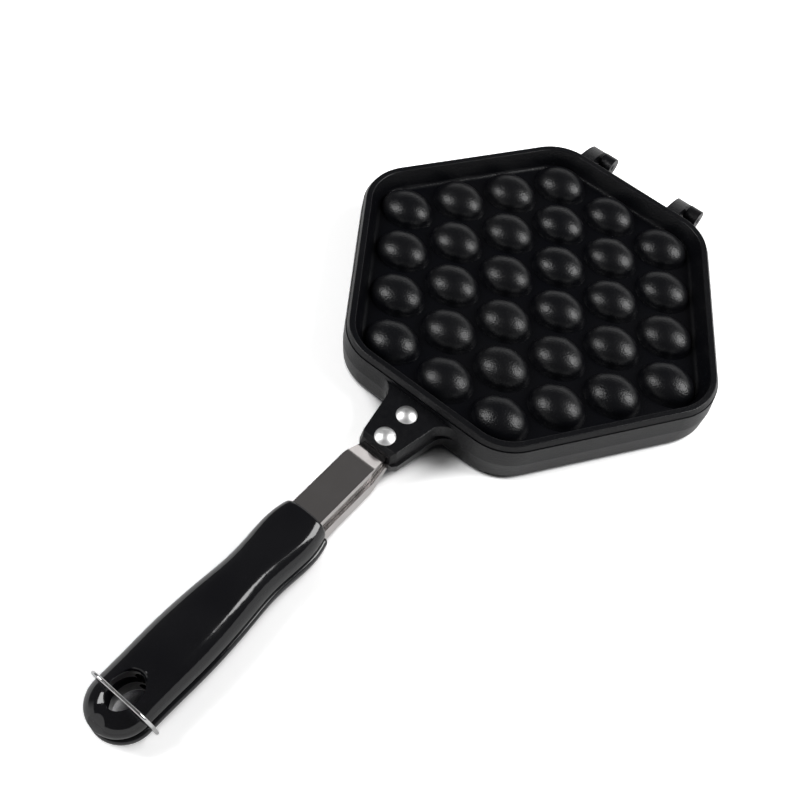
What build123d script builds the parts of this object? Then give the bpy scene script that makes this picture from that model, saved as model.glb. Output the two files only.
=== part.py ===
from build123d import *
import os
from math import asin, atan2, cos, degrees, hypot, radians, sin

# Egg waffle pan: two identical six-sided castings hinged at the back, each on a sheet-steel
# arm with a moulded half grip, and a wire latch that goes over both grips. Millimetres.
# Each shared piece is drawn as the upper one, with heights measured up from the plane where
# the two halves meet. X runs along the hinge, the handle points to -Y, and Y is counted from
# the middle of the cups until the pieces are placed.

# --- egg cups -------------------------------------------------------------------------
cup_spacing = 31.0            # from cup to cup along a row
row_spacing = 22.9            # from row to row
longest_row = 6               # cups in the middle row
rows_each_side = 3            # rows on each side of the middle one
cup_half_length = 12.0        # hollow, along X
cup_half_width = 10.1         # hollow, along Y
cup_depth = 8.4               # hollow, below the web face
cup_wall = 1.2                # how much longer and wider the dome outside is, each side
dome_height = 8.5             # dome above the tray floor
lip_flare = 0.07              # flared foot of a dome or lip of a cup, as a share of its radius
lip_angle = 14.0              # where the flare begins, up from the foot
lip_bend = 0.35               # how tightly the flare turns
form_stub = 0.12              # run of the form below its foot, as a share of its height

# --- casting --------------------------------------------------------------------------
web_gap = 1.1                 # batter gap on each side of the meeting plane
tray_floor_height = 3.3       # outside of the floor that carries the domes
half_thickness = 12.6         # meeting plane to the rim edge
rim_height = 3.1              # sloped rim above the flange wall
rim_edge_width = 2.7          # flat edge of the rim
rim_slope = 1.55              # the wall's upper edge stands this far outside the rim edge
rim_foot_slope = 1.16         # the same for the foot of the sloped rim
groove_depth = 0.5            # fine groove between the rim and the flange wall
groove_width = 0.7
flange_draft = 0.65           # how far the flange wall leans out
tray_wall_slope = 3.5         # how far the inner wall leans in towards the floor
tray_floor_fillet = 2.5
rim_edge_fillet = 0.5
end_margin = 1.05             # floor beyond the outermost domes, hinge and handle sides
flank_margin = 1.95           # the same on the four slanting sides
corner_radius = 24.0          # at the rim edge
contact_land = 5.0            # band where the halves touch

# --- lug ------------------------------------------------------------------------------
lug_height = 6.9
lug_root_half_width = 14.2
lug_nose_half_width = 9.3
lug_tip_half_width = 7.6
lug_length = 30.2             # from the rim edge line to the tip
lug_nose_length = 2.2         # clipped corners before the tip
lug_draft = 0.8               # how much wider it is at the meeting plane
lug_tip_draft = 1.2           # how much longer it is there
lower_lug_shift = 1.4         # the lower lug and handle lie this much to +X
lug_root_fillet = 8.0
lug_root_flat = 9.6           # its root runs this far along the wall on each side
lug_in_wall = 3.7             # and this far into it
lug_edge_chamfer = 1.5        # bevel on the end face
lug_edge_fillet = 0.4

# --- hinge ----------------------------------------------------------------------------
hinge_reach = 16.2            # rim edge line to the hinge axis
hinge_set_offset = 26.7       # middle of each knuckle pair from the centre line
knuckle_radius = 5.0
knuckle_width = 7.0
knuckle_gap = 0.7
knuckle_block_height = 8.8    # where the curved block meets the rim
hinge_pad_reach = 4.2         # thickened wall behind each pair
hinge_pad_height = 8.2
hinge_pad_overhang = 1.2      # pad beyond the pair, each side
hinge_pad_edge = 1.9          # rounding of the pad's two outer corners
hinge_in_wall = 0.5           # block and pad start this far inside the rim edge line
hinge_lift = 0.4              # block and pad stay clear of the other half
pin_radius = 1.6
pin_fit = 0.05
pin_proud = 0.4
pin_edge = 0.35

# --- steel arm ------------------------------------------------------------------------
sheet = 1.2
tang_height = 3.0             # top face of the part held under the lug
arm_height = 8.4              # top face of the straight part
tang_half_width = 6.2
arm_half_width = 7.6
tang_cover = 24.6             # length held under the lug
arm_rise_length = 12.5
arm_bare_length = 33.0        # straight part in the open
arm_in_grip = 15.0
arm_bend_radius = 12.0
arm_edge_radius = 0.8
arm_foot_gap = 0.12           # side flanges stop short of the meeting plane
tang_fit = 0.15

# --- rivets ---------------------------------------------------------------------------
rivet_first = 9.8             # rim edge line to the first rivet
rivet_spacing = 14.9
rivet_head_radius = 4.8
rivet_head_height = 2.2
rivet_shank_radius = 2.3
rivet_tail_radius = 3.6
rivet_tail_end_radius = 2.9
rivet_tail_height = 1.2
rivet_fit = 0.05

# --- grips ----------------------------------------------------------------------------
# Half width, height and fullness of the shoulder at even steps from the front end to where
# the rounded end begins. A fullness of 0.55 is an ellipse, 1 a square.
grip_half_widths = [10.9, 12.9, 12.6, 12.0, 12.4, 13.3, 13.9, 14.15, 14.0, 13.75, 13.7]
grip_heights = [10.85, 10.85, 10.85, 10.85, 10.85, 10.85, 10.85, 10.85, 10.8, 10.6, 10.3]
grip_shoulders = [0.7, 0.68, 0.6, 0.55, 0.53, 0.53, 0.53, 0.53, 0.52, 0.5, 0.47]
grip_straight = 104.0         # front end to where the rounded end begins
grip_foot_gap = 0.1           # grips stop short of the meeting plane
grip_lower_edge = 1.8
grip_front_edge = 1.75
socket_fit = 0.15
hang_hole_half_width = 6.5
hang_hole_length = 17.0
hang_hole_from_end = 16.7     # middle of the hole from the tip
hang_hole_edge = 1.3          # flare of its mouth
hang_hole_edge_height = 2.6
hang_hole_mouth = 10.6        # height at which the flare would end

# --- screw and nut in each grip -------------------------------------------------------
screw_height = 4.2
screw_radius = 1.5
screw_head_radius = 2.75
screw_head_height = 2.0
screw_slot_depth = 1.0
screw_slot_width = 0.9
screw_recess = 3.2            # how deep the head sits in the wall of the hang hole
screw_recess_fit = 0.25
screw_bore_fit = 0.1
nut_half_width = 2.7
nut_thickness = 2.4
nut_edge = 0.35
screw_past_nut = 1.4

# --- wire latch -----------------------------------------------------------------------
wire_radius = 0.75
latch_bar_gap = 1.4           # bar above the rounded end of the upper grip
latch_lean = 2.7              # the bar lies this much nearer the tip than the pivots
latch_pivot_from_end = 16.1   # pivots from the tip of the grips
latch_pivot_height = 6.5      # pivots below the meeting plane
latch_side_gap = 0.35
latch_top_bend = 7.0
latch_foot_bend = 1.6
latch_pin_depth = 3.6         # in the side of the lower grip
latch_pin_fit = 0.06
latch_end_gap = 0.4
latch_swing_gap = 0.2         # grip end to the swinging bar

# --- for cutting and picking ----------------------------------------------------------
cut_past = 1.0                # a cutter runs this far past the face it opens
cut_length = 160.0            # a cutter that goes right through
same_place = 0.01

# --- worked out -----------------------------------------------------------------------
rows = range(-rows_each_side, rows_each_side + 1)
dome_half_length = cup_half_length + cup_wall
dome_half_width = cup_half_width + cup_wall
flank_angle = atan2(cup_spacing / 2, row_spacing)
last_row = rows_each_side * row_spacing
longest_row_end = (longest_row - 1) / 2 * cup_spacing
rim_to_floor = rim_edge_width + tray_wall_slope
end_apothem = last_row + dome_half_width + end_margin + rim_to_floor
dome_flank_reach = hypot(dome_half_length * cos(flank_angle), dome_half_width * sin(flank_angle))
flank_apothem = longest_row_end * cos(flank_angle) + dome_flank_reach + flank_margin + rim_to_floor
flange_height = half_thickness - rim_height
meeting_grow = rim_slope + flange_draft
tray_depth = half_thickness - tray_floor_height

hinge_y = end_apothem + hinge_reach
lug_tip_y = -(end_apothem + lug_length)
tang_start_y = lug_tip_y + tang_cover
grip_front_y = lug_tip_y - arm_rise_length - arm_bare_length
arm_end_y = grip_front_y - arm_in_grip
grip_tip_y = grip_front_y - grip_straight - grip_half_widths[-1]
hang_hole_y = grip_tip_y + hang_hole_from_end
hole_front_y = hang_hole_y + hang_hole_length / 2
latch_pivot_y = grip_tip_y + latch_pivot_from_end
latch_bar_height = grip_heights[-1] + latch_bar_gap + wire_radius
latch_bar_y = latch_pivot_y - latch_lean
latch_reach = hypot(latch_lean, latch_bar_height + latch_pivot_height)
latch_middle_x = lower_lug_shift / 2
latch_leg_x = grip_half_widths[-1] + lower_lug_shift / 2 + latch_side_gap + wire_radius
latch_pin_x = grip_half_widths[-1] - lower_lug_shift / 2 - latch_pin_depth

# The frame's origin is under the middle of the whole pan, on the face it stands on.
back_y = hinge_y + knuckle_radius
frame_shift = -(back_y + grip_tip_y) / 2


def rounded_hexagon(grow, height):
    """Six-sided outline, parallel to the rim edge and this much outside it."""
    end = end_apothem + grow
    flank = flank_apothem + grow
    end_corner_x = (flank - end * sin(flank_angle)) / cos(flank_angle)
    side_corner_x = flank / cos(flank_angle)
    corners = [
        (side_corner_x, 0),
        (end_corner_x, end),
        (-end_corner_x, end),
        (-side_corner_x, 0),
        (-end_corner_x, -end),
        (end_corner_x, -end),
    ]
    outline = FilletPolyline(*corners, radius=corner_radius + grow, close=True)
    return Pos(0, 0, height) * make_face(outline)


def between(grow_low, low, grow_high, high):
    """Solid between two parallel outlines at two heights."""
    return loft([rounded_hexagon(grow_low, low), rounded_hexagon(grow_high, high)], ruled=True)


def cup_places():
    places = []
    for row in rows:
        count = longest_row - abs(row)
        for number in range(count):
            x = (number - (count - 1) / 2) * cup_spacing
            places.append(Pos(x, row * row_spacing, 0))
    return places


def egg_form(half_length, half_width, height, flare):
    """Half egg standing on its flared foot, with a short stub below it."""
    waist = (cos(radians(lip_angle)), sin(radians(lip_angle)))
    foot = (1 + flare, 0)
    crown = CenterArc((0, 0), 1, lip_angle, 90 - lip_angle)
    skirt = Bezier(waist, (1, waist[1] * lip_bend), foot)
    base = Polyline(foot, (foot[0], -form_stub), (0, -form_stub), (0, 1))
    unit = revolve(Plane.XZ * make_face([crown, skirt, base]), Axis.Z)
    return scale(unit, by=(half_length, half_width, height))


def lug_face(grow, wall_y, tip_grow, height):
    """Plan of the lug: it flares into the wall and has clipped corners at the tip."""
    root = lug_root_half_width + grow
    nose = lug_nose_half_width + grow
    tip = lug_tip_half_width + grow
    tip_y = lug_tip_y - tip_grow
    nose_y = tip_y + lug_nose_length
    flare = root + lug_root_flat
    inside_y = lug_in_wall - end_apothem
    half = [(flare, inside_y), (flare, wall_y), (root, wall_y), (nose, nose_y), (tip, tip_y)]
    mirrored = [(-x, y) for x, y in reversed(half)]
    face = make_face(Polyline(*half, *mirrored, close=True))
    at_wall = [v for v in face.vertices() if abs(v.Y - wall_y) < same_place]
    corners = [v for v in at_wall if abs(abs(v.X) - root) < same_place]
    return Pos(0, 0, height) * fillet(corners, lug_root_fillet)


def make_lug():
    wall_at_top = -(end_apothem + meeting_grow - flange_draft * lug_height / flange_height)
    wall_at_foot = -(end_apothem + meeting_grow)
    foot = lug_face(lug_draft, wall_at_foot, lug_tip_draft, 0)
    top = lug_face(0, wall_at_top, 0, lug_height)
    lug = loft([foot, top], ruled=True)
    tip_edge = lug.edges().filter_by(Axis.X).group_by(Axis.Z)[-1].sort_by(Axis.Y)[0]
    lug = chamfer(tip_edge, lug_edge_chamfer)
    top_edges = lug.edges().group_by(Axis.Z)[-1]
    outside = [edge for edge in top_edges if edge.center().Y < wall_at_top - same_place]
    return fillet(outside, lug_edge_fillet)


def make_knuckle(x_low):
    """Curved block from the rim down to the knuckle on the hinge axis."""
    root_y = end_apothem - hinge_in_wall
    reach = hinge_y + knuckle_radius - root_y
    dome = EllipticalCenterArc((root_y, 0), reach, knuckle_block_height, start_angle=0, arc_size=90)
    under = CenterArc((hinge_y, 0), knuckle_radius, 180, 180)
    inner_y = hinge_y - knuckle_radius
    front = Polyline((inner_y, 0), (inner_y, hinge_lift), (root_y, hinge_lift), (root_y, knuckle_block_height))
    side = make_face([dome, under, front])
    block = extrude(Plane.YZ * side, knuckle_width)
    return Pos(x_low, 0, 0) * block


def make_hinge_side(x_low):
    """One pair's share of this half: the knuckle and the thick pad behind the pair."""
    pair_width = 2 * knuckle_width + knuckle_gap
    pad_width = pair_width + 2 * hinge_pad_overhang
    pad_height = hinge_pad_height - hinge_lift
    pad_depth = hinge_pad_reach + hinge_in_wall
    pair_middle = x_low + knuckle_width + knuckle_gap / 2
    pad = Box(pad_width, pad_depth, pad_height, align=(Align.CENTER, Align.MIN, Align.MIN))
    pad = fillet(pad.edges().filter_by(Axis.Z).group_by(Axis.Y)[-1], hinge_pad_edge)
    pad = Pos(pair_middle, end_apothem - hinge_in_wall, hinge_lift) * pad
    return make_knuckle(x_low) + pad


def knuckle_starts():
    """Left edge of the knuckle in the left and in the right pair. It is the left knuckle of
    its pair, so the same casting turned over fills the right side of each pair."""
    outer = knuckle_gap / 2 + knuckle_width
    return [-hinge_set_offset - outer, hinge_set_offset - outer]


def make_pan_half(lug_x):
    """One casting, with its lug this much off the middle."""
    groove_grow = rim_slope - groove_depth
    rim_foot_height = flange_height + groove_width
    body = between(meeting_grow, 0, rim_slope, flange_height)
    body += between(groove_grow, flange_height, groove_grow, rim_foot_height)
    body += between(rim_foot_slope, rim_foot_height, 0, half_thickness)
    tray = between(-rim_to_floor, tray_floor_height, -rim_edge_width, half_thickness)
    floor_edges = tray.edges().group_by(Axis.Z)[0]
    tray = fillet(floor_edges, tray_floor_fillet)
    body -= tray
    body = fillet(body.edges().group_by(Axis.Z)[-1], rim_edge_fillet)
    places = cup_places()
    dome = egg_form(dome_half_length, dome_half_width, dome_height, lip_flare)
    body += [place * Pos(0, 0, tray_floor_height) * dome for place in places]
    body += Pos(lug_x, 0, 0) * make_lug()
    for x_low in knuckle_starts():
        body += make_hinge_side(x_low)
    recess = meeting_grow - contact_land
    body -= between(recess, -cut_past, recess, web_gap)
    cup = egg_form(cup_half_length, cup_half_width, cup_depth, lip_flare)
    body -= [place * Pos(0, 0, web_gap) * cup for place in places]
    body -= Pos(lug_x, 0, 0) * channel_form(-tang_fit, tang_start_y + tang_fit, arm_end_y, -cut_past)
    for y in rivet_rows():
        body -= Pos(lug_x, y, 0) * Cylinder(rivet_shank_radius + rivet_fit, cut_length)
    bore = Cylinder(pin_radius + pin_fit, cut_length)
    body -= Pos(0, hinge_y, 0) * Rot(0, 90, 0) * bore
    return body


def channel_form(inset, start_y, end_y, low):
    """Outside of the bent sheet channel, drawn in by inset all round."""
    rise_y = lug_tip_y
    top_y = rise_y - arm_rise_length
    side = [
        (start_y, low),
        (start_y, tang_height - inset),
        (rise_y, tang_height - inset),
        (top_y, arm_height - inset),
        (end_y, arm_height - inset),
        (end_y, low),
    ]
    side_face = make_face(Polyline(*side, close=True))
    bends = [v for v in side_face.vertices() if top_y - same_place < v.X < rise_y + same_place]
    side_face = fillet(bends, arm_bend_radius)
    tang = tang_half_width - inset
    full = arm_half_width - inset
    half = [(tang, start_y), (tang, rise_y), (full, top_y), (full, end_y)]
    mirrored = [(-x, y) for x, y in reversed(half)]
    plan_face = make_face(Polyline(*half, *mirrored, close=True))
    side_solid = extrude(Plane.YZ * side_face, 2 * arm_half_width, both=True)
    plan_solid = extrude(Pos(0, 0, low) * plan_face, 2 * arm_height - low)
    return side_solid & plan_solid


def rivet_rows():
    return [-(end_apothem + rivet_first), -(end_apothem + rivet_first + rivet_spacing)]


def make_arm():
    outside = channel_form(0, tang_start_y, arm_end_y, arm_foot_gap)
    inside = channel_form(sheet, tang_start_y + cut_past, arm_end_y + sheet, -cut_past)
    arm = outside - inside
    for y in rivet_rows():
        arm -= Pos(0, y, 0) * Cylinder(rivet_shank_radius + rivet_fit, cut_length)
    screw_hole = Cylinder(screw_radius + screw_bore_fit, 4 * sheet)
    arm -= Pos(0, arm_end_y, screw_height) * Rot(90, 0, 0) * screw_hole
    return arm


def make_rivet(y):
    cap_radius = (rivet_head_radius ** 2 + rivet_head_height ** 2) / (2 * rivet_head_height)
    cap_angle = degrees(asin(rivet_head_radius / cap_radius))
    dome = CenterArc((0, lug_height + rivet_head_height - cap_radius), cap_radius, 90 - cap_angle, cap_angle)
    tail_top = tang_height - sheet
    line = Polyline(
        (rivet_head_radius, lug_height),
        (rivet_shank_radius, lug_height),
        (rivet_shank_radius, tail_top),
        (rivet_tail_radius, tail_top),
        (rivet_tail_end_radius, tail_top - rivet_tail_height),
        (0, tail_top - rivet_tail_height),
        (0, lug_height + rivet_head_height),
    )
    rivet = revolve(Plane.XZ * make_face([dome, line]), Axis.Z)
    return Pos(0, y, 0) * rivet


def shoulder(half_width, height, fullness):
    """Right half of a grip's section: rounded lower edge, shoulder, middle of the top."""
    side = grip_foot_gap + grip_lower_edge
    foot = (half_width - grip_lower_edge, grip_foot_gap)
    widest = (half_width, side)
    over = (half_width, side + fullness * (height - side))
    return [
        RadiusArc(foot, widest, -grip_lower_edge),
        Bezier(widest, over, (fullness * half_width, height), (0, height)),
    ]


def grip_section(number):
    distance = number * grip_straight / (len(grip_half_widths) - 1)
    half_width = grip_half_widths[number]
    right = shoulder(half_width, grip_heights[number], grip_shoulders[number])
    left = [edge.mirror(Plane.YZ) for edge in right]
    inner = half_width - grip_lower_edge
    foot = Line((-inner, grip_foot_gap), (inner, grip_foot_gap))
    section = make_face([foot, *right, *left])
    return Pos(0, grip_front_y - distance, 0) * (Rot(90, 0, 0) * section)


def make_grip_end():
    """The section turned about an upright axis, cut back to let the latch swing past."""
    radius = grip_half_widths[-1]
    inner = radius - grip_lower_edge
    height = grip_heights[-1]
    closing = Polyline((0, height), (0, grip_foot_gap), (inner, grip_foot_gap))
    profile = Plane.XZ * make_face([*shoulder(radius, height, grip_shoulders[-1]), closing])
    end = Pos(0, grip_tip_y + radius, 0) * revolve(profile, Axis.Z)
    swing = Cylinder(latch_reach - wire_radius - latch_swing_gap, cut_length)
    return end & Pos(0, latch_pivot_y, -latch_pivot_height) * Rot(0, 90, 0) * swing


def hang_hole():
    """Oval hole with a rounded rim: a round form with a flared mouth, stretched to an oval."""
    flare = hang_hole_edge / hang_hole_half_width
    low = -cut_length
    high = cut_length
    edge = hang_hole_edge_height
    start = hang_hole_mouth - edge
    rim = EllipticalCenterArc((1 + flare, start), flare, edge, start_angle=180, arc_size=-90)
    wall = Polyline((0, low), (1, low), (1, start))
    mouth = Polyline((1 + flare, hang_hole_mouth), (1 + flare, high), (0, high), (0, low))
    form = revolve(Plane.XZ * make_face([wall, rim, mouth]), Axis.Z)
    oval = scale(form, by=(hang_hole_half_width, hang_hole_length / 2, 1))
    return Pos(0, hang_hole_y, 0) * oval


def make_grip():
    grip = loft([grip_section(number) for number in range(len(grip_half_widths))])
    front = grip.faces().sort_by(Axis.Y)[-1]
    grip = fillet(front.edges(), grip_front_edge)
    grip += make_grip_end()
    grip -= hang_hole()
    grip -= arm_socket()
    head_seat_y = hole_front_y + screw_recess
    grip -= along_handle(screw_radius + screw_bore_fit, head_seat_y, arm_end_y)
    grip -= along_handle(screw_head_radius + screw_recess_fit, hang_hole_y, head_seat_y)
    return grip


def arm_socket():
    """Pocket for the end of the arm, open to the front and to the other grip."""
    width = 2 * (arm_half_width + socket_fit)
    length = arm_in_grip + socket_fit
    height = arm_height + socket_fit
    room = Box(width, 2 * length, 2 * height)
    return Pos(0, grip_front_y, 0) * room


def along_handle(radius, start_y, end_y):
    """Round bar along the handle between two places, on the screw's line."""
    length = abs(end_y - start_y)
    bar = Cylinder(radius, length)
    return Pos(0, (start_y + end_y) / 2, screw_height) * Rot(90, 0, 0) * bar


def make_lower_grip():
    """The lower grip also has a blind hole in each side for the latch."""
    grip = make_grip()
    middle_x = lower_lug_shift - latch_middle_x
    bottom_x = latch_pin_x - latch_end_gap
    align_start = (Align.CENTER, Align.CENTER, Align.MIN)
    drill = Cylinder(wire_radius + latch_pin_fit, latch_leg_x, align=align_start)
    for side in (1, -1):
        place = Pos(middle_x + side * bottom_x, latch_pivot_y, latch_pivot_height)
        grip -= place * Rot(0, side * 90, 0) * drill
    return grip


def make_screw():
    seat_y = hole_front_y + screw_recess
    head = along_handle(screw_head_radius, seat_y - screw_head_height, seat_y)
    tip_y = arm_end_y + sheet + nut_thickness + screw_past_nut
    shank = along_handle(screw_radius, seat_y - cut_past, tip_y)
    slot = Box(2 * screw_head_radius, 2 * screw_slot_depth, screw_slot_width)
    return head + shank - Pos(0, seat_y - screw_head_height, screw_height) * slot


def make_nut():
    start_y = arm_end_y + sheet
    nut = Box(2 * nut_half_width, nut_thickness, 2 * nut_half_width)
    nut = chamfer(nut.edges().filter_by(Axis.Y), nut_edge)
    nut = Pos(0, start_y + nut_thickness / 2, screw_height) * nut
    return nut - along_handle(screw_radius, start_y - cut_past, start_y + nut_thickness + cut_past)


def make_pin(x_low):
    """Hinge pin through one pair of knuckles."""
    length = 2 * knuckle_width + knuckle_gap + 2 * pin_proud
    pin = Cylinder(pin_radius, length, rotation=(0, 90, 0))
    pin = chamfer(pin.edges(), pin_edge)
    return Pos(x_low + length / 2 - pin_proud, hinge_y, 0) * pin


def make_latch():
    """Spring wire bail: bar over the grips, legs down both sides, ends in the lower grip."""
    bar_x = latch_leg_x - latch_top_bend
    foot_x = latch_leg_x - latch_foot_bend
    leg_top = latch_reach - latch_top_bend
    right = [
        Line((latch_pin_x, 0), (foot_x, 0)),
        RadiusArc((foot_x, 0), (latch_leg_x, latch_foot_bend), -latch_foot_bend),
        Line((latch_leg_x, latch_foot_bend), (latch_leg_x, leg_top)),
        RadiusArc((latch_leg_x, leg_top), (bar_x, latch_reach), -latch_top_bend),
    ]
    left = [edge.mirror(Plane.YZ) for edge in right]
    bar = Line((bar_x, latch_reach), (-bar_x, latch_reach))
    route = Plane.XZ * Wire([*right, bar, *left])
    start = Plane(origin=(latch_pin_x, 0, 0), z_dir=(1, 0, 0))
    wire = sweep(start * Circle(wire_radius), path=route)
    lean = degrees(atan2(latch_lean, latch_bar_height + latch_pivot_height))
    return Pos(latch_middle_x, latch_pivot_y, -latch_pivot_height) * Rot(lean, 0, 0) * wire


def place_upper(piece):
    return Pos(0, frame_shift, half_thickness) * piece


def place_lower(piece, x=0.0):
    """The lower half is the same casting turned over about the handle."""
    return Pos(x, frame_shift, half_thickness) * Rot(0, 180, 0) * piece


def build_nodes():
    arm = make_arm()
    inner_y, outer_y = rivet_rows()
    inner_rivet = make_rivet(inner_y)
    outer_rivet = make_rivet(outer_y)
    screw = make_screw()
    nut = make_nut()
    left_x, right_x = knuckle_starts()
    shift = lower_lug_shift
    return {
        "upper_pan": place_upper(make_pan_half(0)),
        "lower_pan": place_lower(make_pan_half(-shift)),
        "upper_arm": place_upper(arm),
        "lower_arm": place_lower(arm, shift),
        "upper_rivet_inner": place_upper(inner_rivet),
        "upper_rivet_outer": place_upper(outer_rivet),
        "lower_rivet_inner": place_lower(inner_rivet, shift),
        "lower_rivet_outer": place_lower(outer_rivet, shift),
        "upper_grip": place_upper(make_grip()),
        "lower_grip": place_lower(make_lower_grip(), shift),
        "upper_grip_screw": place_upper(screw),
        "lower_grip_screw": place_lower(screw, shift),
        "upper_grip_nut": place_upper(nut),
        "lower_grip_nut": place_lower(nut, shift),
        "hinge_pin_left": place_upper(make_pin(left_x)),
        "hinge_pin_right": place_upper(make_pin(right_x)),
        "wire_latch": place_upper(make_latch()),
    }


os.makedirs("parts", exist_ok=True)
for node, piece in build_nodes().items():
    export_step(piece, f"parts/{node}.step")
    print(node, round(piece.volume, 1))
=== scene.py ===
import bpy
import math
from mathutils import Matrix, Vector

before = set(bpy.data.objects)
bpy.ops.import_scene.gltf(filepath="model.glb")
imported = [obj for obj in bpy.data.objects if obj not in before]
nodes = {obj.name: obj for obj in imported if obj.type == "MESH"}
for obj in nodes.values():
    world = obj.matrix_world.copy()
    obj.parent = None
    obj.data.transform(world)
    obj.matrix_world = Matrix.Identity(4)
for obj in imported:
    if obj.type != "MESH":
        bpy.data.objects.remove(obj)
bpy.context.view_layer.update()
scene = bpy.context.scene


# small helpers for node trees

def addNode(tree, kind, place=(0, 0), **values):
    node = tree.nodes.new(kind)
    node.location = place
    for name, value in values.items():
        if hasattr(node, name):
            setattr(node, name, value)
        else:
            node.inputs[name].default_value = value
    return node


def setInputs(node, **values):
    for name, value in values.items():
        node.inputs[name.replace("_", " ")].default_value = value


def newGroup(name, inputs, outputs):
    # inputs are (label, socket kind, value), outputs are (label, socket kind)
    tree = bpy.data.node_groups.new(name, "ShaderNodeTree")
    for label, kind, value in inputs:
        socket = tree.interface.new_socket(name=label, in_out="INPUT", socket_type=kind)
        socket.default_value = value
    for label, kind in outputs:
        tree.interface.new_socket(name=label, in_out="OUTPUT", socket_type=kind)
    start = addNode(tree, "NodeGroupInput", (-900, 0))
    end = addNode(tree, "NodeGroupOutput", (700, 0))
    return tree, start, end


def useGroup(tree, group, place=(0, 0), **values):
    node = tree.nodes.new("ShaderNodeGroup")
    node.node_tree = group
    node.location = place
    setInputs(node, **values)
    return node


def math2(tree, operation, first, second=None, place=(0, 0), clamp=False):
    # first and second are sockets or plain numbers
    node = addNode(tree, "ShaderNodeMath", place, operation=operation)
    node.use_clamp = clamp
    for number, value in enumerate((first, second)):
        if value is None:
            continue
        if isinstance(value, (int, float)):
            node.inputs[number].default_value = value
        else:
            tree.links.new(value, node.inputs[number])
    return node.outputs[0]


def remap(tree, value, low, high, outLow=0.0, outHigh=1.0, place=(0, 0)):
    node = addNode(tree, "ShaderNodeMapRange", place)
    node.clamp = True
    tree.links.new(value, node.inputs["Value"])
    ends = (("From Min", low), ("From Max", high), ("To Min", outLow), ("To Max", outHigh))
    for name, number in ends:
        if isinstance(number, (int, float)):
            node.inputs[name].default_value = number
        else:
            tree.links.new(number, node.inputs[name])
    return node.outputs["Result"]


def mixColour(tree, mask, first, second, place=(0, 0)):
    node = addNode(tree, "ShaderNodeMix", place, data_type="RGBA")
    tree.links.new(mask, node.inputs["Factor"])
    for socket, value in ((node.inputs[6], first), (node.inputs[7], second)):  # colours A and B
        if isinstance(value, tuple):
            socket.default_value = (*value, 1)
        else:
            tree.links.new(value, socket)
    return node.outputs[2]  # the mixed colour


def newMaterial(name):
    material = bpy.data.materials.new(name)
    material.use_nodes = True
    tree = material.node_tree
    tree.nodes.clear()
    out = addNode(tree, "ShaderNodeOutputMaterial", (600, 0))
    shader = addNode(tree, "ShaderNodeBsdfPrincipled", (300, 0))
    tree.links.new(shader.outputs["BSDF"], out.inputs["Surface"])
    return material, tree, shader


def bumpSkin(tree, shader, height, strength, depth):
    bump = addNode(tree, "ShaderNodeBump", (-100, -250), Strength=strength, Distance=depth)
    tree.links.new(height, bump.inputs["Height"])
    tree.links.new(bump.outputs["Normal"], shader.inputs["Normal"])


def paint(material, *names):
    for name in names:
        slots = nodes[name].material_slots
        if not slots:
            nodes[name].data.materials.append(material)
        for slot in slots:
            slot.material = material


# grain: tiny bumps of a sprayed or moulded skin, its slow mottling and the odd bright grain
grainShape = {
    "fineShare": 0.6,             # height of the fine noise all over
    "grainTop": 0.75,             # height of a grain's middle
    "glintRange": (0.22, 0.02),   # distances from a grain's middle, from no glint to full
    "mottleDetail": 4.0,
    "mottleRange": (0.35, 0.65),
}


def makeGrainGroup():
    group, start, end = newGroup(
        "surfaceGrain",
        [
            ("Size", "NodeSocketFloat", 0.0003),
            ("Detail", "NodeSocketFloat", 2.0),
            ("Mottle Size", "NodeSocketFloat", 0.02),
        ],
        [("Height", "NodeSocketFloat"), ("Glint", "NodeSocketFloat"), ("Mottle", "NodeSocketFloat")],
    )
    place = addNode(group, "ShaderNodeTexCoord", (-900, -300)).outputs["Object"]
    grainsPerMetre = math2(group, "DIVIDE", 1.0, start.outputs["Size"], (-700, 100))
    fine = addNode(group, "ShaderNodeTexNoise", (-500, 200))
    group.links.new(place, fine.inputs["Vector"])
    group.links.new(grainsPerMetre, fine.inputs["Scale"])
    group.links.new(start.outputs["Detail"], fine.inputs["Detail"])
    cells = addNode(group, "ShaderNodeTexVoronoi", (-500, -100))
    group.links.new(place, cells.inputs["Vector"])
    group.links.new(grainsPerMetre, cells.inputs["Scale"])
    grains = math2(group, "SUBTRACT", grainShape["grainTop"], cells.outputs["Distance"], (-300, -100))
    noise = math2(group, "MULTIPLY", fine.outputs["Fac"], grainShape["fineShare"], (-300, 200))
    group.links.new(math2(group, "ADD", noise, grains, (-100, 100)), end.inputs["Height"])
    glint = remap(group, cells.outputs["Distance"], *grainShape["glintRange"], place=(-100, -100))
    group.links.new(glint, end.inputs["Glint"])
    slow = addNode(group, "ShaderNodeTexNoise", (-500, -400), Detail=grainShape["mottleDetail"])
    group.links.new(place, slow.inputs["Vector"])
    mottlesPerMetre = math2(group, "DIVIDE", 1.0, start.outputs["Mottle Size"], (-700, -400))
    group.links.new(mottlesPerMetre, slow.inputs["Scale"])
    mottle = remap(group, slow.outputs["Fac"], *grainShape["mottleRange"], place=(-100, -400))
    group.links.new(mottle, end.inputs["Mottle"])
    return group


# marks: fine lines along one direction, in patches, from drawing, wiping and handling
markShape = {
    "lineDetail": 3.0,
    "lineRoughness": 0.6,
    "lineRange": (0.55, 0.72),
    "patchesPerMetre": 45.0,
    "patchDetail": 2.0,
    "patchRange": (0.4, 0.7),
}


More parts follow.
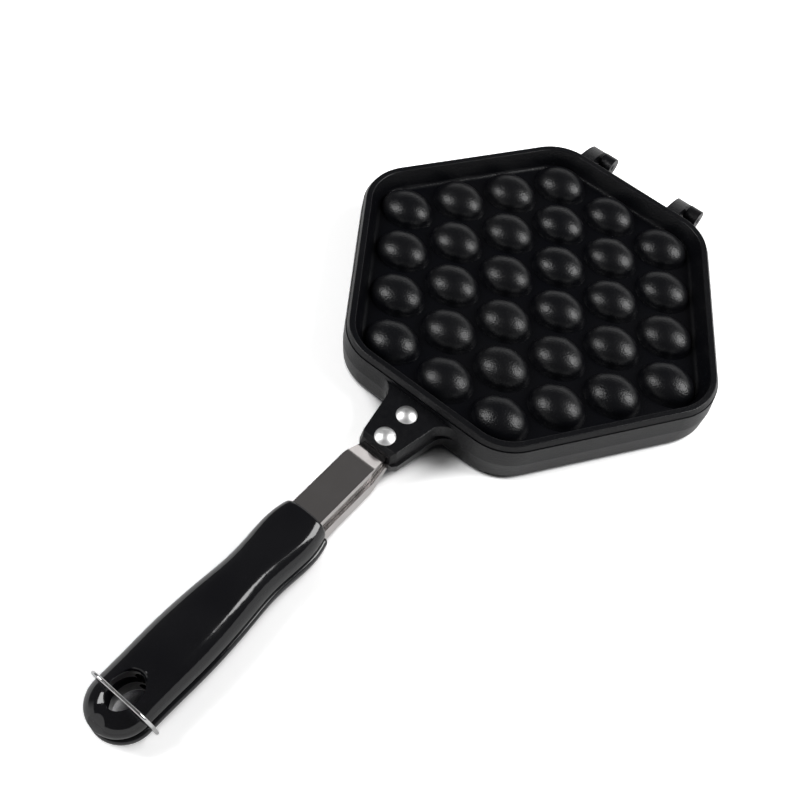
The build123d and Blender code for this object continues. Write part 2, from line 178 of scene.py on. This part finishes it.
def makeMarkGroup():
    group, start, end = newGroup(
        "wipeMarks",
        [
            ("Stretch", "NodeSocketVector", (1.0, 1.0, 1.0)),
            ("Amount", "NodeSocketFloat", 0.5),
        ],
        [("Mask", "NodeSocketFloat"), ("Height", "NodeSocketFloat")],
    )
    place = addNode(group, "ShaderNodeTexCoord", (-900, -200)).outputs["Object"]
    stretched = addNode(group, "ShaderNodeVectorMath", (-700, 0), operation="MULTIPLY")
    group.links.new(place, stretched.inputs[0])
    group.links.new(start.outputs["Stretch"], stretched.inputs[1])
    lines = addNode(
        group, "ShaderNodeTexNoise", (-500, 0),
        Scale=1.0, Detail=markShape["lineDetail"], Roughness=markShape["lineRoughness"],
    )
    group.links.new(stretched.outputs["Vector"], lines.inputs["Vector"])
    patches = addNode(
        group, "ShaderNodeTexNoise", (-500, -300),
        Scale=markShape["patchesPerMetre"], Detail=markShape["patchDetail"],
    )
    group.links.new(place, patches.inputs["Vector"])
    thin = remap(group, lines.outputs["Fac"], *markShape["lineRange"], place=(-300, 0))
    here = remap(group, patches.outputs["Fac"], *markShape["patchRange"], place=(-300, -300))
    patchy = math2(group, "MULTIPLY", thin, here, (-100, 0))
    mask = math2(group, "MULTIPLY", patchy, start.outputs["Amount"], (100, 0), True)
    group.links.new(mask, end.inputs["Mask"])
    group.links.new(lines.outputs["Fac"], end.inputs["Height"])
    return group


# wear on raised edges, broken up so that it is never an even outline, and a mask of the hollows
edgeShape = {
    "flat": 0.5,                  # pointiness of a flat face
    "spare": 0.005,               # how far from flat a face stays untouched
    "breakupDetail": 3.0,
    "breakupRange": (0.35, 0.6),
}


def makeEdgeGroup():
    group, start, end = newGroup(
        "edgeWear",
        [("Sharpness", "NodeSocketFloat", 0.03), ("Breakup Size", "NodeSocketFloat", 0.003)],
        [("Edge", "NodeSocketFloat"), ("Hollow", "NodeSocketFloat")],
    )
    pointed = addNode(group, "ShaderNodeNewGeometry", (-900, -200)).outputs["Pointiness"]
    place = addNode(group, "ShaderNodeTexCoord", (-900, -500)).outputs["Object"]
    flat, spare = edgeShape["flat"], edgeShape["spare"]
    high = math2(group, "ADD", flat, start.outputs["Sharpness"], (-700, 100))
    edge = remap(group, pointed, flat + spare, high, place=(-500, 100))
    low = math2(group, "SUBTRACT", flat, start.outputs["Sharpness"], (-700, -100))
    hollow = remap(group, pointed, flat - spare, low, place=(-500, -100))
    breakup = addNode(group, "ShaderNodeTexNoise", (-500, -400), Detail=edgeShape["breakupDetail"])
    group.links.new(place, breakup.inputs["Vector"])
    breaksPerMetre = math2(group, "DIVIDE", 1.0, start.outputs["Breakup Size"], (-700, -400))
    group.links.new(breaksPerMetre, breakup.inputs["Scale"])
    broken = remap(group, breakup.outputs["Fac"], *edgeShape["breakupRange"], place=(-300, -400))
    group.links.new(math2(group, "MULTIPLY", edge, broken, (0, 100)), end.inputs["Edge"])
    group.links.new(hollow, end.inputs["Hollow"])
    return group


surfaceGrain = makeGrainGroup()
wipeMarks = makeMarkGroup()
edgeWear = makeEdgeGroup()
print("stage: node groups ready")


# the castings: black non-stick coat with a fine sprayed grain
coating = {
    "dark": (0.0022, 0.0024, 0.0036),
    "light": (0.0034, 0.0035, 0.0044),
    "worn": (0.014, 0.014, 0.015),
    "wear": 0.2,
    "edgeSharpness": 0.06,
    "edgeBreakup": 0.0025,
    "roughLow": 0.29,
    "roughHigh": 0.32,
    "glintPolish": 0.10,        # how much smoother the odd bright grain is
    "shine": 0.29,
    "hollowShadeShine": 0.10,         # painted shade: less shine in the hollows, where the domes meet the floor
    "hollowShadeFrom": 0.6,            # share of the hollow mask at which the painted shade is full
    "grainSize": 0.00075,
    "grainDepth": 0.00014,
    "grainStrength": 0.55,
    "mottleSize": 0.045,
}


def makeCoating():
    material, tree, shader = newMaterial("nonStickCoating")
    grain = useGroup(
        tree, surfaceGrain, (-700, 200),
        Size=coating["grainSize"], Mottle_Size=coating["mottleSize"],
    )
    edges = useGroup(
        tree, edgeWear, (-700, -300),
        Sharpness=coating["edgeSharpness"], Breakup_Size=coating["edgeBreakup"],
    )
    base = mixColour(tree, grain.outputs["Mottle"], coating["dark"], coating["light"], (-300, 300))
    worn = math2(tree, "MULTIPLY", edges.outputs["Edge"], coating["wear"], (-450, -300))
    colour = mixColour(tree, worn, base, coating["worn"], (-100, 300))
    tree.links.new(colour, shader.inputs["Base Color"])
    rough = remap(
        tree, grain.outputs["Mottle"], 0, 1, coating["roughLow"], coating["roughHigh"], (-300, 0)
    )
    glint = math2(tree, "MULTIPLY", grain.outputs["Glint"], -coating["glintPolish"], (-450, -100))
    tree.links.new(math2(tree, "ADD", rough, glint, (-100, 0)), shader.inputs["Roughness"])
    # painted shade: the shine drops in the hollows, darkening them
    shine = remap(
        tree, edges.outputs["Hollow"], 0, coating["hollowShadeFrom"],
        coating["shine"], coating["hollowShadeShine"], (-450, -450),
    )
    tree.links.new(shine, shader.inputs["Specular IOR Level"])
    bumpSkin(tree, shader, grain.outputs["Height"], coating["grainStrength"], coating["grainDepth"])
    return material


paint(makeCoating(), "upper_pan", "lower_pan")
print("stage: castings coated")


# the arms: polished sheet steel
armSteel = {
    "bright": (0.68, 0.645, 0.635),
    "dull": (0.62, 0.585, 0.575),
    "roughLow": 0.10,
    "roughHigh": 0.16,
    "grainSize": 0.0011,
    "mottleSize": 0.012,
    "brushStretch": (5200.0, 160.0, 5200.0),   # lines per metre across, along and through the sheet
    "brushAmount": 0.7,
    "brushRough": 0.12,
    "brushStrength": 0.12,
    "brushDepth": 0.00001,
}


def makeArmSteel():
    material, tree, shader = newMaterial("armSheetSteel")
    brushed = useGroup(
        tree, wipeMarks, (-700, 100),
        Stretch=armSteel["brushStretch"], Amount=armSteel["brushAmount"],
    )
    grain = useGroup(
        tree, surfaceGrain, (-700, -300),
        Size=armSteel["grainSize"], Mottle_Size=armSteel["mottleSize"],
    )
    tone = mixColour(tree, grain.outputs["Mottle"], armSteel["bright"], armSteel["dull"], (-200, 200))
    tree.links.new(tone, shader.inputs["Base Color"])
    rough = remap(
        tree, grain.outputs["Mottle"], 0, 1, armSteel["roughLow"], armSteel["roughHigh"], (-300, 0)
    )
    marks = math2(tree, "MULTIPLY", brushed.outputs["Mask"], armSteel["brushRough"], (-300, -150))
    tree.links.new(math2(tree, "ADD", rough, marks, (-100, 0)), shader.inputs["Roughness"])
    bumpSkin(tree, shader, brushed.outputs["Height"], armSteel["brushStrength"], armSteel["brushDepth"])
    setInputs(shader, Metallic=1.0)
    return material


paint(makeArmSteel(), "upper_arm", "lower_arm")
print("stage: arms polished")


# the rivets: bright domed heads
rivetMetal = {
    "bright": (0.96, 0.96, 0.96),
    "dull": (0.92, 0.92, 0.92),
    "rough": 0.42,
    "grainSize": 0.0006,
    "mottleSize": 0.003,
    "markStretch": (2600.0, 900.0, 700.0),     # marks per metre along x, y and z, here and below
    "markAmount": 0.8,
    "markRough": 0.2,
    "dimpleStrength": 0.25,
    "dimpleDepth": 0.00003,
}


def makeRivetMetal():
    material, tree, shader = newMaterial("rivetAluminium")
    grain = useGroup(
        tree, surfaceGrain, (-700, 100),
        Size=rivetMetal["grainSize"], Mottle_Size=rivetMetal["mottleSize"],
    )
    marks = useGroup(
        tree, wipeMarks, (-700, -300),
        Stretch=rivetMetal["markStretch"], Amount=rivetMetal["markAmount"],
    )
    tone = mixColour(tree, grain.outputs["Mottle"], rivetMetal["bright"], rivetMetal["dull"], (-200, 200))
    tree.links.new(tone, shader.inputs["Base Color"])
    marked = rivetMetal["rough"] + rivetMetal["markRough"]
    rough = remap(tree, marks.outputs["Mask"], 0, 1, rivetMetal["rough"], marked, (-300, 0))
    tree.links.new(rough, shader.inputs["Roughness"])
    bumpSkin(
        tree, shader, grain.outputs["Height"], rivetMetal["dimpleStrength"], rivetMetal["dimpleDepth"]
    )
    setInputs(shader, Metallic=1.0)
    return material


paint(makeRivetMetal(), "upper_rivet_inner", "upper_rivet_outer", "lower_rivet_inner", "lower_rivet_outer")
print("stage: rivets polished")


# the grips: glossy black moulded plastic
gripPlastic = {
    "dark": (0.0030, 0.0030, 0.0042),
    "dusty": (0.0050, 0.0050, 0.0062),
    "roughLow": 0.05,
    "roughHigh": 0.10,
    "grainSize": 0.0022,
    "mottleSize": 0.03,
    "wipeStretch": (2200.0, 260.0, 2200.0),
    "wipeAmount": 0.6,
    "wipeRough": 0.10,
    "skinStrength": 0.10,
    "skinDepth": 0.00003,
}


def makeGripPlastic():
    material, tree, shader = newMaterial("gripPlastic")
    grain = useGroup(
        tree, surfaceGrain, (-700, 200),
        Size=gripPlastic["grainSize"], Mottle_Size=gripPlastic["mottleSize"],
    )
    marks = useGroup(
        tree, wipeMarks, (-700, -200),
        Stretch=gripPlastic["wipeStretch"], Amount=gripPlastic["wipeAmount"],
    )
    tone = mixColour(tree, grain.outputs["Mottle"], gripPlastic["dark"], gripPlastic["dusty"], (-200, 300))
    tree.links.new(tone, shader.inputs["Base Color"])
    rough = remap(
        tree, grain.outputs["Mottle"], 0, 1,
        gripPlastic["roughLow"], gripPlastic["roughHigh"], (-300, 0),
    )
    wiped = math2(tree, "MULTIPLY", marks.outputs["Mask"], gripPlastic["wipeRough"], (-300, -150))
    tree.links.new(math2(tree, "ADD", rough, wiped, (-100, 0)), shader.inputs["Roughness"])
    bumpSkin(tree, shader, grain.outputs["Height"], gripPlastic["skinStrength"], gripPlastic["skinDepth"])
    return material


paint(makeGripPlastic(), "upper_grip", "lower_grip")
print("stage: grips moulded")


# hinge pins of blackened steel, screws and nuts of plain zinc-grey steel
fixingSteel = {
    "bright": (0.50, 0.50, 0.50),
    "dull": (0.30, 0.30, 0.31),
    "rubbed": (0.66, 0.66, 0.65),
    "rough": 0.30,
}
pinSteel = {
    "bright": (0.060, 0.060, 0.064),
    "dull": (0.030, 0.030, 0.033),
    "rubbed": (0.16, 0.16, 0.16),
    "rough": 0.42,
}
plainSkin = {
    "grainSize": 0.0005,
    "mottleSize": 0.002,
    "edgeSharpness": 0.08,
    "edgeBreakup": 0.001,
    "dullRough": 0.15,          # how much rougher the dull places are
    "strength": 0.3,
    "depth": 0.00002,
}


def makePlainSteel(name, steel):
    material, tree, shader = newMaterial(name)
    grain = useGroup(
        tree, surfaceGrain, (-700, 100),
        Size=plainSkin["grainSize"], Mottle_Size=plainSkin["mottleSize"],
    )
    edges = useGroup(
        tree, edgeWear, (-700, -300),
        Sharpness=plainSkin["edgeSharpness"], Breakup_Size=plainSkin["edgeBreakup"],
    )
    tone = mixColour(tree, grain.outputs["Mottle"], steel["bright"], steel["dull"], (-300, 200))
    rubbed = mixColour(tree, edges.outputs["Edge"], tone, steel["rubbed"], (-100, 200))
    tree.links.new(rubbed, shader.inputs["Base Color"])
    dullest = steel["rough"] + plainSkin["dullRough"]
    rough = remap(tree, grain.outputs["Mottle"], 0, 1, steel["rough"], dullest, (-300, 0))
    tree.links.new(rough, shader.inputs["Roughness"])
    bumpSkin(tree, shader, grain.outputs["Height"], plainSkin["strength"], plainSkin["depth"])
    setInputs(shader, Metallic=1.0)
    return material


paint(makePlainSteel("pinSteel", pinSteel), "hinge_pin_left", "hinge_pin_right")
paint(
    makePlainSteel("fixingSteel", fixingSteel),
    "upper_grip_screw", "lower_grip_screw", "upper_grip_nut", "lower_grip_nut",
)
print("stage: pins and screws plated")


# the latch: bright drawn spring wire
wireSteel = {
    "bright": (0.68, 0.68, 0.68),
    "dull": (0.50, 0.50, 0.51),
    "rough": 0.14,
    "grainSize": 0.0004,
    "mottleSize": 0.004,
    "drawnStretch": (900.0, 5200.0, 5200.0),
    "drawnAmount": 0.9,
    "drawnRough": 0.2,
    "drawnStrength": 0.2,
    "drawnDepth": 0.00001,
}


def makeWireSteel():
    material, tree, shader = newMaterial("latchWire")
    drawn = useGroup(
        tree, wipeMarks, (-700, 100),
        Stretch=wireSteel["drawnStretch"], Amount=wireSteel["drawnAmount"],
    )
    grain = useGroup(
        tree, surfaceGrain, (-700, -300),
        Size=wireSteel["grainSize"], Mottle_Size=wireSteel["mottleSize"],
    )
    tone = mixColour(tree, grain.outputs["Mottle"], wireSteel["bright"], wireSteel["dull"], (-200, 200))
    tree.links.new(tone, shader.inputs["Base Color"])
    marked = wireSteel["rough"] + wireSteel["drawnRough"]
    rough = remap(tree, drawn.outputs["Mask"], 0, 1, wireSteel["rough"], marked, (-300, 0))
    tree.links.new(rough, shader.inputs["Roughness"])
    bumpSkin(tree, shader, drawn.outputs["Height"], wireSteel["drawnStrength"], wireSteel["drawnDepth"])
    setInputs(shader, Metallic=1.0)
    return material


paint(makeWireSteel(), "wire_latch")
print("stage: latch drawn")


# studio: one pale sweep, two soft boxes and a dim room
studio = {
    "floorColour": (0.90, 0.90, 0.90),
    "floorRough": 0.9,
    "seenColour": (1.7, 1.7, 1.7),       # the floor as it is seen, so that it is white
    "paintedShadeColour": (0.08, 0.08, 0.09),   # the same with painted shade, where the pan all but shuts it in
    "closeReach": 0.08,                  # how far around a spot things count as shutting it in
    "closeSamples": 32,
    "closeShare": (0.25, 0.47),          # open share of the sky from there to fully clear
    "whiteFrom": (0.55, 0.85),           # distances over which the floor turns to even white
    "paintedReflectionEdge": (-2.25, -1.85),          # x over which the painted dark reflection at the left gives way to white
    "paintedReflectionGrey": 0.12,
    "floorRadius": 2.2,
    "floorRings": (0.0001, 0.5),         # the tiny middle and one ring on the way out
    "roundSteps": 96,
    "sweepRadius": 0.35,
    "sweepSteps": 12,
    "wallHeight": 1.0,
    "roomGrey": 0.11,
}
leftBox = {
    "direction": (-0.625, -0.338, 0.704),
    "distance": 1.35,
    "width": 0.55,
    "height": 0.70,
    "power": 12.0,
}
rightBox = {
    "direction": (0.555, 0.500, 0.665),
    "distance": 1.35,
    "width": 0.68,
    "height": 0.70,
    "power": 15.0,
}


def seenDirectly(tree, mirrored):
    # 1 for rays from the camera, straight or through glass, and if asked for mirrored ones too
    rays = addNode(tree, "ShaderNodeLightPath", (-600, -300))
    seen = rays.outputs["Is Camera Ray"]
    if mirrored:
        seen = math2(tree, "ADD", seen, rays.outputs["Is Glossy Ray"], (-400, -300))
    return math2(tree, "ADD", seen, rays.outputs["Is Transmission Ray"], (-200, -300), True)


def mixShaders(tree, mask, first, second, place):
    mix = addNode(tree, "ShaderNodeMixShader", place)
    for number, socket in enumerate((mask, first, second)):
        tree.links.new(socket, mix.inputs[number])
    return mix.outputs["Shader"]


def whiteGlow(tree, place):
    # even white, with a painted dark reflection at the left that only mirrored rays meet
    split = addNode(tree, "ShaderNodeSeparateXYZ", (-600, -1100))
    tree.links.new(place, split.inputs[0])
    paintedReflection = remap(
        tree, split.outputs["X"], *studio["paintedReflectionEdge"], 1.0 - studio["paintedReflectionGrey"], 0.0, (-400, -1100)
    )
    rays = addNode(tree, "ShaderNodeLightPath", (-600, -1300))
    mirrored = math2(tree, "MULTIPLY", paintedReflection, rays.outputs["Is Glossy Ray"], (-200, -1100))
    glow = addNode(tree, "ShaderNodeEmission", (200, -1100))
    tree.links.new(math2(tree, "SUBTRACT", 1.0, mirrored, (0, -1100)), glow.inputs["Strength"])
    return glow.outputs["Emission"]


def makeWallMaterial():
    material, tree, shader = newMaterial("studioWall")
    setInputs(shader, Base_Color=(*studio["floorColour"], 1), Roughness=studio["floorRough"])
    place = addNode(tree, "ShaderNodeTexCoord", (-1000, -1000)).outputs["Object"]
    glow = whiteGlow(tree, place)
    out = mixShaders(tree, seenDirectly(tree, True), shader.outputs["BSDF"], glow, (500, -100))
    tree.links.new(out, tree.nodes["Material Output"].inputs["Surface"])
    return material


def makeFloorMaterial():
    material, tree, shader = newMaterial("studioFloor")
    setInputs(shader, Base_Color=(*studio["floorColour"], 1), Roughness=studio["floorRough"])
    # near the pan: pale paint that looks white wherever light reaches it and keeps the shadow, with
    # painted shade where the pan all but shuts it in
    near = addNode(tree, "ShaderNodeBsdfDiffuse", (300, -400))
    # painted shade: the floor turns dark where the pan all but shuts it in
    openSky = addNode(
        tree, "ShaderNodeAmbientOcclusion", (-400, -700),
        Distance=studio["closeReach"], samples=studio["closeSamples"],
    )
    clear = remap(tree, openSky.outputs["AO"], *studio["closeShare"], place=(-200, -700))
    floorColourWithPaintedShade = mixColour(tree, clear, studio["paintedShadeColour"], studio["seenColour"], (0, -600))
    tree.links.new(floorColourWithPaintedShade, near.inputs["Color"])
    painted = mixShaders(
        tree, seenDirectly(tree, False), shader.outputs["BSDF"], near.outputs["BSDF"], (500, -100)
    )
    # far from it: even white up to the wall
    place = addNode(tree, "ShaderNodeTexCoord", (-1000, -1000)).outputs["Object"]
    away = addNode(tree, "ShaderNodeVectorMath", (-800, -900), operation="LENGTH")
    tree.links.new(place, away.inputs[0])
    far = remap(tree, away.outputs["Value"], *studio["whiteFrom"], place=(-600, -900))
    seen = math2(tree, "MULTIPLY", far, seenDirectly(tree, True), (-200, -900))
    out = mixShaders(tree, seen, painted, whiteGlow(tree, place), (700, -100))
    tree.nodes["Material Output"].location = (900, 0)
    tree.links.new(out, tree.nodes["Material Output"].inputs["Surface"])
    return material


def lathe(name, profile):
    # a round sheet around the upright axis; each place of the profile is a radius and a height
    points, faces = [], []
    steps = studio["roundSteps"]
    for radius, height in profile:
        for step in range(steps):
            angle = 2 * math.pi * step / steps
            points.append((radius * math.cos(angle), radius * math.sin(angle), height))
    for ring in range(len(profile) - 1):
        for step in range(steps):
            following = (step + 1) % steps
            faces.append((
                ring * steps + step, ring * steps + following,
                (ring + 1) * steps + following, (ring + 1) * steps + step,
            ))
    mesh = bpy.data.meshes.new(name)
    mesh.from_pydata(points, [], faces)
    mesh.polygons.foreach_set("use_smooth", [True] * len(mesh.polygons))
    piece = bpy.data.objects.new(name, mesh)
    scene.collection.objects.link(piece)
    return piece


def makeStudio():
    bend = studio["sweepRadius"]
    flatEnd = studio["floorRadius"]
    floor = lathe("studioFloor", [(radius, 0) for radius in (*studio["floorRings"], flatEnd)])
    steps = studio["sweepSteps"]
    turns = [math.radians(90 * step / steps) for step in range(steps + 1)]
    curve = [(flatEnd + bend * math.sin(turn), bend * (1 - math.cos(turn))) for turn in turns]
    wall = lathe("studioWall", curve + [(flatEnd + bend, studio["wallHeight"])])
    floor.data.materials.append(makeFloorMaterial())
    wall.data.materials.append(makeWallMaterial())


def softBox(name, box):
    light = bpy.data.lights.new(name, "AREA")
    light.shape = "RECTANGLE"
    light.size = box["width"]
    light.size_y = box["height"]
    light.energy = box["power"]
    lamp = bpy.data.objects.new(name, light)
    scene.collection.objects.link(lamp)
    toLamp = Vector(box["direction"]).normalized()
    lamp.location = toLamp * box["distance"]
    lamp.rotation_mode = "QUATERNION"
    lamp.rotation_quaternion = toLamp.to_track_quat("Z", "Y")


def makeRoom():
    world = bpy.data.worlds.new("dimRoom")
    world.use_nodes = True
    grey = studio["roomGrey"]
    world.node_tree.nodes["Background"].inputs["Color"].default_value = (grey, grey, grey, 1)
    scene.world = world


makeStudio()
softBox("leftSoftBox", leftBox)
softBox("rightSoftBox", rightBox)
makeRoom()
scene.view_settings.view_transform = "Standard"
print("stage: studio lit")


# camera, from above the right of the handle
viewpoint = {
    "place": (0.1425, -0.2589, 0.4510),
    "target": (-0.0095, -0.0028, 0.0126),
    "roll": 10.11,         # degrees around the line of sight
    "lens": 53.05,
    "sensorWidth": 36.0,
}


def makeCamera():
    data = bpy.data.cameras.new("panCamera")
    data.lens = viewpoint["lens"]
    data.sensor_width = viewpoint["sensorWidth"]
    camera = bpy.data.objects.new("panCamera", data)
    scene.collection.objects.link(camera)
    place = Vector(viewpoint["place"])
    aim = (Vector(viewpoint["target"]) - place).to_track_quat("-Z", "Y").to_matrix().to_4x4()
    roll = Matrix.Rotation(math.radians(viewpoint["roll"]), 4, "Z")
    camera.matrix_world = Matrix.Translation(place) @ aim @ roll
    scene.camera = camera


makeCamera()
print("stage: camera placed")
